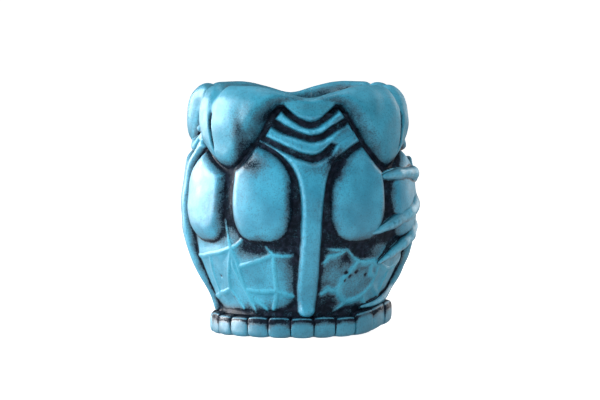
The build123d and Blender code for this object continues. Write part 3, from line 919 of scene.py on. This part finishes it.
def glaze(slot, deep, bright, roughness, shine):
    """Satin turquoise glaze under a glossier dark glaze, which follows the mesh's attributes.

    The dark glaze shows where the first attribute is high, which holds the wash and painted shade,
    and the glaze is pale where the second is high, which holds wear and painted highlights. Shine is
    the specular level of the bare glaze.
    """
    material = bpy.data.materials.new(slot)
    material.use_nodes = True
    nodes, links = material.node_tree.nodes, material.node_tree.links
    surface = nodes["Principled BSDF"]
    place = nodes.new("ShaderNodeTexCoord").outputs["Object"]

    def noise(scale, detail, rough=0.55):
        node = nodes.new("ShaderNodeTexNoise")
        node.inputs["Scale"].default_value = scale
        node.inputs["Detail"].default_value = detail
        node.inputs["Roughness"].default_value = rough
        links.new(place, node.inputs["Vector"])
        return node.outputs["Fac"]

    def ranged(value, low, high, to_low=0.0, to_high=1.0, smooth=True):
        node = nodes.new("ShaderNodeMapRange")
        node.interpolation_type = "SMOOTHSTEP" if smooth else "LINEAR"
        for socket, number in zip(("From Min", "From Max", "To Min", "To Max"),
                                  (low, high, to_low, to_high)):
            node.inputs[socket].default_value = number
        links.new(value, node.inputs["Value"])
        return node.outputs["Result"]

    def maths(operation, first, second):
        node = nodes.new("ShaderNodeMath")
        node.operation = operation
        for socket, value in zip(node.inputs, (first, second)):
            if isinstance(value, float):
                socket.default_value = value
            else:
                links.new(value, socket)
        return node.outputs[0]

    def mixed(share, first, second):
        node = nodes.new("ShaderNodeMix")
        node.data_type = "RGBA"
        sockets = [s for s in node.inputs if s.type == "RGBA"]
        links.new(share, node.inputs["Factor"])
        for socket, value in zip(sockets, (first, second)):
            if isinstance(value, tuple):
                socket.default_value = (*value, 1)
            else:
                links.new(value, socket)
        return [s for s in node.outputs if s.type == "RGBA"][0]

    def attribute(name):
        node = nodes.new("ShaderNodeAttribute")
        node.attribute_name = name
        return node.outputs["Fac"]

    grain = maths("MULTIPLY", maths("SUBTRACT", noise(1500, 3), 0.5), 0.8)
    cloud = maths("MULTIPLY", maths("SUBTRACT", noise(230, 5), 0.5), 0.7)
    # The darkening is the dark wash in the hollows, and painted shade where the pieces were given it.
    darkening = maths("ADD", maths("ADD", attribute("wash_and_shade"), grain), cloud)
    thin_darkening = ranged(darkening, 0.05, 0.75)
    full_darkening = ranged(darkening, 0.55, 1.0)

    mottle = ranged(noise(70, 7, 0.62), 0.33, 0.68)
    body = mixed(mottle, deep, bright)
    fleck = ranged(noise(1500, 3), 0.48, 0.72, 0.0, 0.55)
    body = mixed(fleck, body, tuple(0.5 * c for c in deep))
    # Pale edges come from wear, and from painted highlights on the roots, the coil and the rim.
    wear_and_highlight = maths("MULTIPLY", attribute("wear_and_highlight"), ranged(noise(500, 4), 0.35, 0.6))
    body = mixed(maths("MULTIPLY", wear_and_highlight, 0.45), body, tuple(1.5 * c + 0.06 for c in bright))
    # These dark colours paint both the wash and the painted shade.
    thinly_darkened = mixed(maths("MULTIPLY", thin_darkening, 0.85), body, (0.010, 0.045, 0.075))
    dark = mixed(ranged(noise(420, 5), 0.4, 0.75), (0.0045, 0.008, 0.014), (0.018, 0.024, 0.042))
    colour = mixed(full_darkening, thinly_darkened, dark)
    links.new(colour, surface.inputs["Base Color"])

    satin = ranged(noise(180, 4), 0.3, 0.7, roughness - 0.05, roughness + 0.07)
    gloss = ranged(full_darkening, 0.0, 1.0, 1.0, 0.6)
    links.new(maths("MULTIPLY", satin, gloss), surface.inputs["Roughness"])
    surface.inputs["IOR"].default_value = 1.5
    links.new(ranged(full_darkening, 0.0, 1.0, shine, 0.04), surface.inputs["Specular IOR Level"])

    bump = nodes.new("ShaderNodeBump")
    bump.inputs["Strength"].default_value = 0.35
    bump.inputs["Distance"].default_value = 0.0003
    relief = maths("ADD", noise(650, 4), maths("MULTIPLY", noise(120, 3), 2.0))
    links.new(relief, bump.inputs["Height"])
    links.new(bump.outputs["Normal"], surface.inputs["Normal"])
    return material


GLAZES = {
    "wall_glaze": glaze("wall_glaze", (0.020, 0.245, 0.380), (0.044, 0.365, 0.545), 0.50, 0.8),
    "petal_glaze": glaze("petal_glaze", (0.016, 0.190, 0.292), (0.036, 0.290, 0.432), 0.46, 0.5),
    "pod_glaze": glaze("pod_glaze", (0.014, 0.215, 0.345), (0.034, 0.325, 0.495), 0.50, 0.9),
    "web_glaze": glaze("web_glaze", (0.026, 0.275, 0.415), (0.056, 0.400, 0.575), 0.50, 0.6),
    "root_glaze": glaze("root_glaze", (0.014, 0.180, 0.285), (0.038, 0.295, 0.435), 0.38, 1.0),
    "coil_glaze": glaze("coil_glaze", (0.012, 0.155, 0.245), (0.032, 0.250, 0.375), 0.45, 1.0),
}


cup_piece()
rim_pieces()
for node_name in FIELDS:
    relief_piece(node_name, "web_glaze" if node_name.startswith("web") else "pod_glaze")
for node_name, root_stations in ROOTS.items():
    root_piece(node_name, root_stations)
coil_pieces()


# ---------------------------------------------------------------- studio

def strength_by_ray(nodes, links, to_camera, to_gloss, otherwise):
    """A strength that differs between what the camera sees, what gloss mirrors and what lights."""
    rays = nodes.new("ShaderNodeLightPath").outputs
    strength = otherwise
    for ray, value in (("Is Glossy Ray", to_gloss), ("Is Camera Ray", to_camera)):
        choice = nodes.new("ShaderNodeMapRange")
        choice.inputs["To Max"].default_value = value
        if isinstance(strength, float):
            choice.inputs["To Min"].default_value = strength
        else:
            links.new(strength, choice.inputs["To Min"])
        links.new(rays[ray], choice.inputs["Value"])
        strength = choice.outputs["Result"]
    return strength


def add_floor():
    """Plain pale floor, lit from within for the camera so that shadows stay faint."""
    material = bpy.data.materials.new("floor_paper")
    material.use_nodes = True
    nodes, links = material.node_tree.nodes, material.node_tree.links
    surface = nodes["Principled BSDF"]
    surface.inputs["Base Color"].default_value = (0.6, 0.6, 0.6, 1)
    surface.inputs["Roughness"].default_value = 0.9
    surface.inputs["Emission Color"].default_value = (1, 1, 1, 1)
    links.new(strength_by_ray(nodes, links, 1.0, 0.2, 0.2), surface.inputs["Emission Strength"])
    mesh = bpy.data.meshes.new("floor")
    size = 6.0
    mesh.from_pydata([(-size, -size, 0), (size, -size, 0), (size, size, 0), (-size, size, 0)], [],
                     [(0, 1, 2, 3)])
    mesh.materials.append(material)
    floor = bpy.data.objects.new("floor", mesh)
    bpy.context.scene.collection.objects.link(floor)


def aimed(item, position, target):
    """Puts a camera or light at a position, looking at a target."""
    item.location = position
    item.rotation_euler = (Vector(target) - Vector(position)).to_track_quat("-Z", "Y").to_euler()
    bpy.context.scene.collection.objects.link(item)
    return item


def add_light(name, azimuth, rise, distance, size, power):
    """Soft oblong light aimed at the middle of the mug, from an azimuth and an angle of rise."""
    light = bpy.data.lights.new(name, "AREA")
    light.shape = "RECTANGLE"
    light.size, light.size_y = size
    light.energy = power
    turn, lift = np.radians(azimuth), np.radians(rise)
    position = (distance * np.cos(lift) * np.sin(turn), -distance * np.cos(lift) * np.cos(turn),
                distance * np.sin(lift) + 0.06)
    return aimed(bpy.data.objects.new(name, light), position, (0, 0, 0.06))


def add_studio():
    """A white background, sheens from the left and from behind the right, and dull lights."""
    world = bpy.data.worlds.new("studio")
    world.use_nodes = True
    nodes, links = world.node_tree.nodes, world.node_tree.links
    background = nodes["Background"]
    background.inputs["Color"].default_value = (1, 1, 1, 1)
    links.new(strength_by_ray(nodes, links, 1.1, 0.2, 0.1), background.inputs["Strength"])
    bpy.context.scene.world = world
    add_light("sheen", -112, 6, 1.3, (1.2, 1.2), 85).visible_diffuse = False
    add_light("rim", 128, 14, 1.3, (0.6, 0.9), 6).visible_diffuse = False
    add_light("left", -78, 16, 1.4, (0.8, 0.8), 21).visible_glossy = False
    add_light("front", -12, 28, 1.7, (1, 1), 14).visible_glossy = False
    add_light("right", 62, 42, 1.5, (0.8, 0.8), 6).visible_glossy = False
    add_light("top", 180, 80, 1.3, (0.7, 0.7), 4)
    bpy.context.scene.view_settings.view_transform = "Standard"


def add_camera():
    """Long lens in front of the mug, a little to its left and above its rim."""
    middle = Vector((0.0005, 0, 0.0607))
    distance, azimuth, rise = 2.2, np.radians(-6.5), 0.1228
    camera = bpy.data.cameras.new("camera")
    camera.sensor_width = 36
    camera.lens = 287
    camera.clip_end = 50
    position = middle + Vector((distance * np.sin(azimuth), -distance * np.cos(azimuth), rise))
    bpy.context.scene.camera = aimed(bpy.data.objects.new("camera", camera), position, middle)


add_floor()
add_studio()
add_camera()
